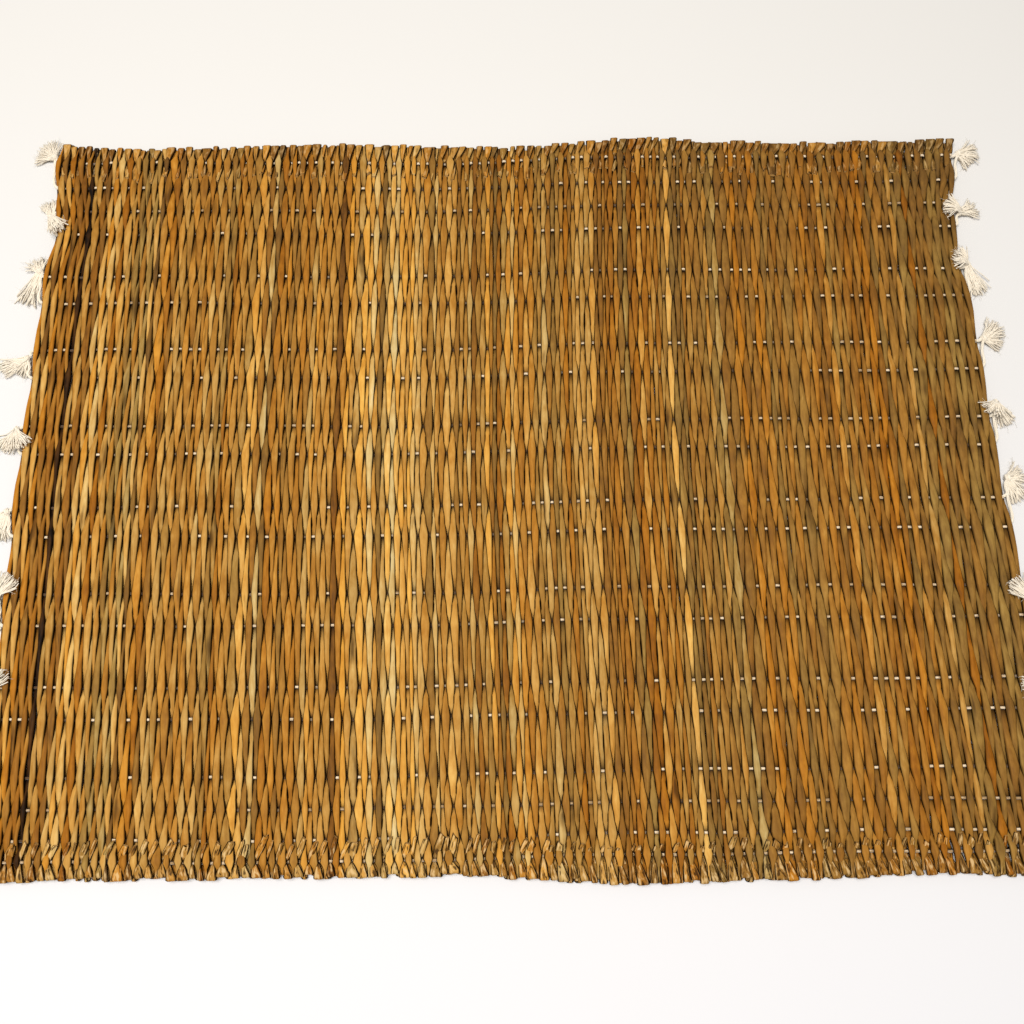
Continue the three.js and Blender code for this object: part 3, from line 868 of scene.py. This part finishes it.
# Materials
class Wiring:
    """Short hands for building a material's nodes."""

    def __init__(self, tree):
        self.tree = tree

    def node(self, kind, **settings):
        made = self.tree.nodes.new(kind)
        for name, value in settings.items():
            setattr(made, name, value)
        return made

    def feed(self, socket, value):
        """Sets a socket to a plain value or links an output to it."""
        if isinstance(value, (int, float)):
            socket.default_value = value
        elif isinstance(value, tuple):
            socket.default_value = (*value, 1.0)
        else:
            self.tree.links.new(value, socket)

    def trait(self, name):
        """A value that the mesh holds for each point."""
        return self.node("ShaderNodeAttribute", attribute_name=name).outputs["Fac"]

    def math(self, operation, first, second):
        made = self.node("ShaderNodeMath", operation=operation)
        self.feed(made.inputs[0], first)
        self.feed(made.inputs[1], second)
        return made.outputs[0]

    def about_zero(self, value, size):
        """A noise value, which swings about a half, turned to a swing of a size about nought."""
        return self.math("MULTIPLY", self.math("SUBTRACT", value, 0.5), size)

    def fibres(self, source, across, along, detail):
        """Streaks along a run: how many across one turn, and how many for each millimetre along."""
        made = self.node("ShaderNodeGroup", node_tree=fibre_streaks())
        for name, value in (("Run", source), ("Across", across), ("Along", along), ("Detail", detail)):
            self.feed(made.inputs[name], value)
        return made.outputs["Streak"]

    def noise(self, source, scale, detail):
        made = self.node("ShaderNodeTexNoise")
        made.inputs["Scale"].default_value = scale
        made.inputs["Detail"].default_value = detail
        self.feed(made.inputs["Vector"], source)
        return made.outputs["Fac"]

    def ramp(self, value, stops):
        """A colour for a value, from stops of (value, colour)."""
        made = self.node("ShaderNodeValToRGB")
        elements = made.color_ramp.elements
        while len(elements) < len(stops):
            elements.new(0.5)
        for element, (position, colour) in zip(elements, stops):
            element.position = position
            element.color = (*colour, 1.0)
        self.feed(made.inputs["Fac"], value)
        return made.outputs["Color"]

    def mix(self, share, first, second, blend="MIX"):
        """A share of the second colour over the first."""
        made = self.node("ShaderNodeMix", data_type="RGBA", blend_type=blend)
        for place, value in ((0, share), (6, first), (7, second)):
            self.feed(made.inputs[place], value)
        return made.outputs[2]

    def bump(self, shader, height, strength, distance):
        """Feeds a relief to a shader; the distance is in metres."""
        made = self.node("ShaderNodeBump")
        made.inputs["Strength"].default_value = strength
        made.inputs["Distance"].default_value = distance
        self.feed(made.inputs["Height"], height)
        self.feed(shader.inputs["Normal"], made.outputs["Normal"])


def fibre_streaks():
    """The streaks of plant and cotton fibre that run along a stem or a strand."""
    name = "fibre_streaks"
    if name in bpy.data.node_groups:
        return bpy.data.node_groups[name]
    group = bpy.data.node_groups.new(name, "ShaderNodeTree")
    group.interface.new_socket("Run", in_out="INPUT", socket_type="NodeSocketVector")
    for socket in ("Across", "Along", "Detail"):
        group.interface.new_socket(socket, in_out="INPUT", socket_type="NodeSocketFloat")
    group.interface.new_socket("Streak", in_out="OUTPUT", socket_type="NodeSocketFloat")
    w = Wiring(group)
    given = w.node("NodeGroupInput").outputs
    scale = w.node("ShaderNodeCombineXYZ")
    w.feed(scale.inputs["X"], given["Across"])
    w.feed(scale.inputs["Y"], given["Along"])
    stretched = w.node("ShaderNodeVectorMath", operation="MULTIPLY")
    w.feed(stretched.inputs[0], given["Run"])
    w.feed(stretched.inputs[1], scale.outputs["Vector"])
    streak = w.node("ShaderNodeTexNoise")
    streak.inputs["Scale"].default_value = 1.0
    streak.inputs["Roughness"].default_value = 0.6
    w.feed(streak.inputs["Vector"], stretched.outputs["Vector"])
    w.feed(streak.inputs["Detail"], given["Detail"])
    w.feed(w.node("NodeGroupOutput").inputs["Streak"], streak.outputs["Fac"])
    return group


def new_material(name):
    """A material with its Principled shader, and the wiring for more nodes."""
    material = bpy.data.materials.new(name)
    material.use_nodes = True
    shader = material.node_tree.nodes["Principled BSDF"]
    return material, shader, Wiring(material.node_tree)


def grey(level):
    return (level, level, level)


# Colours of dried rush from nearly black to pale straw
RUSH_STOPS = (
    (0.0, (0.008, 0.004, 0.0015)),
    (0.2, (0.082, 0.029, 0.004)),
    (0.4, (0.232, 0.079, 0.0062)),
    (0.55, (0.368, 0.138, 0.0115)),
    (0.7, (0.520, 0.236, 0.031)),
    (0.85, (0.670, 0.365, 0.066)),
    (1.0, (0.780, 0.540, 0.180)),
)
OLIVE_TINT = (0.75, 1.16, 3.3)
# The painted shade down the stems' sides and in the pits
PAINTED_PIT_SHADE_COLOUR = (0.006, 0.0025, 0.001)
# The dark stains, and also the painted shade in the folded ends' creases
STAIN_AND_CREASE_SHADE_COLOUR = (0.030, 0.012, 0.003)
RIDGE_PALE_AND_HIGHLIGHT_COLOUR = (0.60, 0.41, 0.19)


# How the painted shade deepens down the sides and in the pits
PAINTED_SHADE_STEPS = ((0.0, grey(0.0)), (0.12, grey(0.0)), (0.36, grey(0.36)), (0.6, grey(0.96)), (1.0, grey(1.0)))
# Where the stains set in
STAIN_STEPS = ((0.0, grey(0.0)), (0.67, grey(0.0)), (0.8, grey(0.75)), (1.0, grey(0.9)))
# The pale ridges of the folded ends, partly paler frayed fibre and partly painted highlight, and their dark
# creases, which are painted shade
RIDGE_PALE_AND_HIGHLIGHT_STEPS = ((0.0, grey(0.0)), (0.52, grey(0.0)), (0.62, grey(0.7)), (1.0, grey(0.85)))
CREASE_SHADE_STEPS = ((0.0, grey(0.95)), (0.39, grey(0.85)), (0.45, grey(0.0)), (1.0, grey(0.0)))
# How much the skin shines, how rough it is and how much that changes with the flecks
RUSH_SHINE = 0.05
RUSH_ROUGHNESS = 0.42
ROUGHNESS_CHANGE = 0.3
# Relief of the flecks and creases, against the fine ribs
FLECK_RELIEF = 0.6
CREASE_RELIEF = 3.5


def rush_skin_material():
    """Dried rush: streaks along each stem, blotches, dark stains, fine ribs and a satin skin, with painted
    shade down the sides and in the pits, and painted highlights and shade on the folded ends' ridges and
    creases.
    """
    material, shader, w = new_material("rush_skin")
    run = w.node("ShaderNodeUVMap", uv_map="run").outputs["UV"]
    streak = w.fibres(run, across=5.0, along=0.03, detail=3.0)
    fleck = w.fibres(run, across=14.0, along=0.2, detail=3.0)
    blotch = w.fibres(run, across=1.3, along=0.06, detail=2.0)
    shade = w.trait("tone")
    for pattern, size in ((streak, 0.26), (fleck, 0.3), (blotch, 0.36)):
        shade = w.math("ADD", shade, w.about_zero(pattern, size))
    colour = w.ramp(shade, RUSH_STOPS)
    cloud = w.fibres(run, across=1.0, along=0.02, detail=1.0)
    drift = w.math("ADD", w.trait("olive"), w.about_zero(cloud, size=0.7))
    olive = w.ramp(drift, ((0.0, grey(0.0)), (1.0, grey(1.0))))
    colour = w.mix(olive, colour, w.mix(1.0, colour, OLIVE_TINT, "MULTIPLY"))
    stain = w.math("ADD", w.fibres(run, across=3.2, along=0.03, detail=2.0), w.trait("stain"))
    stain = w.ramp(stain, STAIN_STEPS)
    colour = w.mix(stain, colour, STAIN_AND_CREASE_SHADE_COLOUR)
    crinkle = w.fibres(run, across=13.0, along=0.22, detail=2.0)
    fold = w.trait("fold")
    # Pale ridges, partly painted highlight, and painted shade in the creases of the folds
    for steps, crease in ((RIDGE_PALE_AND_HIGHLIGHT_STEPS, RIDGE_PALE_AND_HIGHLIGHT_COLOUR), (CREASE_SHADE_STEPS, STAIN_AND_CREASE_SHADE_COLOUR)):
        colour = w.mix(w.math("MULTIPLY", fold, w.ramp(crinkle, steps)), colour, crease)
    # Painted shade down the sides and in the pits
    painted_shade = w.ramp(w.trait("painted_shade"), PAINTED_SHADE_STEPS)
    colour = w.mix(painted_shade, colour, PAINTED_PIT_SHADE_COLOUR)
    w.feed(shader.inputs["Base Color"], colour)
    roughness = w.math("ADD", RUSH_ROUGHNESS, w.math("MULTIPLY", fleck, ROUGHNESS_CHANGE))
    w.feed(shader.inputs["Roughness"], roughness)
    ribs = w.fibres(run, across=30.0, along=0.05, detail=2.0)
    relief = w.math("ADD", ribs, w.math("MULTIPLY", fleck, FLECK_RELIEF))
    creased = w.math("MULTIPLY", fold, w.math("MULTIPLY", crinkle, CREASE_RELIEF))
    w.bump(shader, w.math("ADD", relief, creased), strength=0.4, distance=0.0003)
    shader.inputs["Specular IOR Level"].default_value = RUSH_SHINE
    return material


# Colours of the cut ends, from shade to light
PITH_STOPS = ((0.0, (0.12, 0.05, 0.013)), (0.5, (0.34, 0.18, 0.05)), (1.0, (0.58, 0.39, 0.16)))
# How much the stem's tone and the pith's pores say in that
PITH_TONE_SHARE = 0.5
PITH_SPONGE_SHARE = 0.6


def rush_pith_material():
    """The cut ends: pale spongy pith."""
    material, shader, w = new_material("rush_pith")
    spot = w.node("ShaderNodeTexCoord").outputs["Object"]
    sponge = w.noise(spot, scale=2600.0, detail=2.0)
    tone = w.math("MULTIPLY", w.trait("tone"), PITH_TONE_SHARE)
    shade = w.math("ADD", tone, w.math("MULTIPLY", sponge, PITH_SPONGE_SHARE))
    w.feed(shader.inputs["Base Color"], w.ramp(shade, PITH_STOPS))
    w.bump(shader, sponge, strength=0.6, distance=0.0002)
    shader.inputs["Roughness"].default_value = 0.9
    shader.inputs["Specular IOR Level"].default_value = 0.2
    return material


# Undyed cotton, painted lit and in shadow: of the threads, yellowed by the rush and warmed further as
# painted warm light thrown on them by the rush, and of the tufts
THREAD_COTTON = ((0.71, 0.56, 0.38), (0.32, 0.20, 0.09))
TUFT_COTTON = ((0.80, 0.72, 0.59), (0.70, 0.61, 0.48))
# The painted shade of the cotton down in the slits, and how much a strand's tone and mottling say in its
# shade elsewhere
COTTON_PAINTED_SHADE_COLOUR = (0.08, 0.04, 0.015)
COTTON_TONE_SHARE = 0.4
COTTON_MOTTLE = 1.6
# The shade from which on a strand is fully lit
COTTON_LIT = 0.4


def cotton_material(name, bright, shadow, along):
    """Soft undyed cotton: a fine twist along each strand, a change of tone along it and painted shade where
    it lies low.
    """
    material, shader, w = new_material(name)
    run = w.node("ShaderNodeUVMap", uv_map="run").outputs["UV"]
    mottle = w.fibres(run, across=3.0, along=along, detail=2.0)
    tone = w.math("MULTIPLY", w.trait("tone"), COTTON_TONE_SHARE)
    shade = w.math("ADD", tone, w.about_zero(mottle, COTTON_MOTTLE))
    colour = w.ramp(shade, ((0.0, shadow), (COTTON_LIT, bright), (1.0, bright)))
    # Painted shade where the cotton lies low in the slits
    w.feed(shader.inputs["Base Color"], w.mix(w.trait("painted_shade"), colour, COTTON_PAINTED_SHADE_COLOUR))
    twist = w.node("ShaderNodeTexWave", bands_direction="DIAGONAL")
    twist.inputs["Scale"].default_value = 1.4
    twist.inputs["Distortion"].default_value = 0.6
    w.feed(twist.inputs["Vector"], run)
    w.bump(shader, twist.outputs["Fac"], strength=0.5, distance=0.00012)
    shader.inputs["Roughness"].default_value = 0.9
    shader.inputs["Specular IOR Level"].default_value = 0.2
    shader.inputs["Sheen Weight"].default_value = 0.3
    return material


# The table's colour on the near side and on the far one, which is painted dimmer and warmer where the light
# falls off, and the stretch that it changes over
NEAR_TABLE = (0.63, 0.62, 0.628)
FAR_TABLE = (0.622, 0.602, 0.573)
TABLE_CHANGE = 0.45


def table_material():
    """A plain pale table, painted a little dimmer and warmer towards the far side where the light falls off.
    """
    material, shader, w = new_material("pale_table")
    spot = w.node("ShaderNodeTexCoord").outputs["Object"]
    apart = w.node("ShaderNodeSeparateXYZ")
    w.feed(apart.inputs["Vector"], spot)
    farness = w.math("ADD", w.math("DIVIDE", apart.outputs["Y"], TABLE_CHANGE), 0.5)
    cloud = w.noise(spot, scale=5.0, detail=2.0)
    farness = w.math("ADD", farness, w.about_zero(cloud, size=0.2))
    w.feed(shader.inputs["Base Color"], w.ramp(farness, ((0.0, NEAR_TABLE), (1.0, FAR_TABLE))))
    shader.inputs["Roughness"].default_value = 0.75
    shader.inputs["Specular IOR Level"].default_value = 0.2
    return material


# The camera at the photograph's place: it looks steeply down from the near side
CAMERA_TARGET = Vector((1.8, -18.4, 0.0)) * MM
CAMERA_DISTANCE = 432.6 * MM
CAMERA_ELEVATION = math.radians(73.77)
CAMERA_AZIMUTH = math.radians(0.22)
CAMERA_ROLL = math.radians(-0.75)
SENSOR = 36.0
FOCAL_SHARE = 950.0 / 1024.0


def make_camera():
    """The camera, turned about its own view by the roll."""
    back = Vector((
        math.sin(CAMERA_AZIMUTH) * math.cos(CAMERA_ELEVATION),
        -math.cos(CAMERA_AZIMUTH) * math.cos(CAMERA_ELEVATION),
        math.sin(CAMERA_ELEVATION),
    ))
    data = bpy.data.cameras.new("camera")
    data.sensor_width = SENSOR
    data.lens = SENSOR * FOCAL_SHARE
    data.clip_start = 0.01
    camera = bpy.data.objects.new("camera", data)
    turned = back.to_track_quat("Z", "Y").to_matrix().to_4x4() @ Matrix.Rotation(CAMERA_ROLL, 4, "Z")
    camera.matrix_world = Matrix.Translation(CAMERA_TARGET + back * CAMERA_DISTANCE) @ turned
    bpy.context.scene.collection.objects.link(camera)
    bpy.context.scene.camera = camera


def make_light(name, place, target, size, power, tint):
    """A round lamp that faces its target."""
    data = bpy.data.lights.new(name, "AREA")
    data.shape = "DISK"
    data.size = size
    data.energy = power
    data.color = tint
    light = bpy.data.objects.new(name, data)
    place = Vector(place)
    turned = (place - Vector(target)).to_track_quat("Z", "Y").to_matrix().to_4x4()
    light.matrix_world = Matrix.Translation(place) @ turned
    bpy.context.scene.collection.objects.link(light)


# Half the table's side, in metres, and the even light of the room
TABLE_REACH = 3.0
ROOM_TINT = (1.0, 0.985, 0.97, 1.0)
ROOM_STRENGTH = 0.36


def make_studio():
    """The pale table, one large lamp above it and the light of the room."""
    shape = bmesh.new()
    bmesh.ops.create_grid(shape, x_segments=1, y_segments=1, size=TABLE_REACH)
    mesh = bpy.data.meshes.new("table")
    shape.to_mesh(mesh)
    shape.free()
    mesh.materials.append(table_material())
    table = bpy.data.objects.new("table", mesh)
    bpy.context.scene.collection.objects.link(table)
    make_light(
        "window", place=(-0.24, -0.1, 1.4), target=(0, 0, 0), size=0.9, power=28.0, tint=(1.0, 0.985, 0.96),
    )
    world = bpy.data.worlds.new("soft_room")
    world.use_nodes = True
    background = world.node_tree.nodes["Background"]
    background.inputs["Color"].default_value = ROOM_TINT
    background.inputs["Strength"].default_value = ROOM_STRENGTH
    bpy.context.scene.world = world
    bpy.context.scene.view_settings.view_transform = "Standard"


def dress():
    """Makes every piece with its materials, hangs it on the root body and hides the part that it stands for.
    """
    skin = rush_skin_material()
    pith = rush_pith_material()
    cotton = cotton_material("cotton_thread", *THREAD_COTTON, along=0.3)
    soft_cotton = cotton_material("cotton_tuft", *TUFT_COTTON, along=0.2)
    rush_pieces = []
    for first, word in enumerate(("first", "second")):
        rush_pieces.append(make_rush(f"rush_stems_{word}", first, skin, pith))
    threads = make_threads("cotton_threads", cotton, cotton)
    for piece in rush_pieces + [threads]:
        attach(piece, "root")
        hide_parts("mat")
    for side, word, rows in ((-1, "left", LEFT_TUFTS), (1, "right", RIGHT_TUFTS)):
        for order, row in enumerate(rows):
            node = f"tuft_{word}_{order + 1:02d}"
            tuft = make_tuft(f"{node}_cotton", side, row, order, soft_cotton)
            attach(tuft, "root")
            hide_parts(node)


make_camera()
make_studio()
dress()
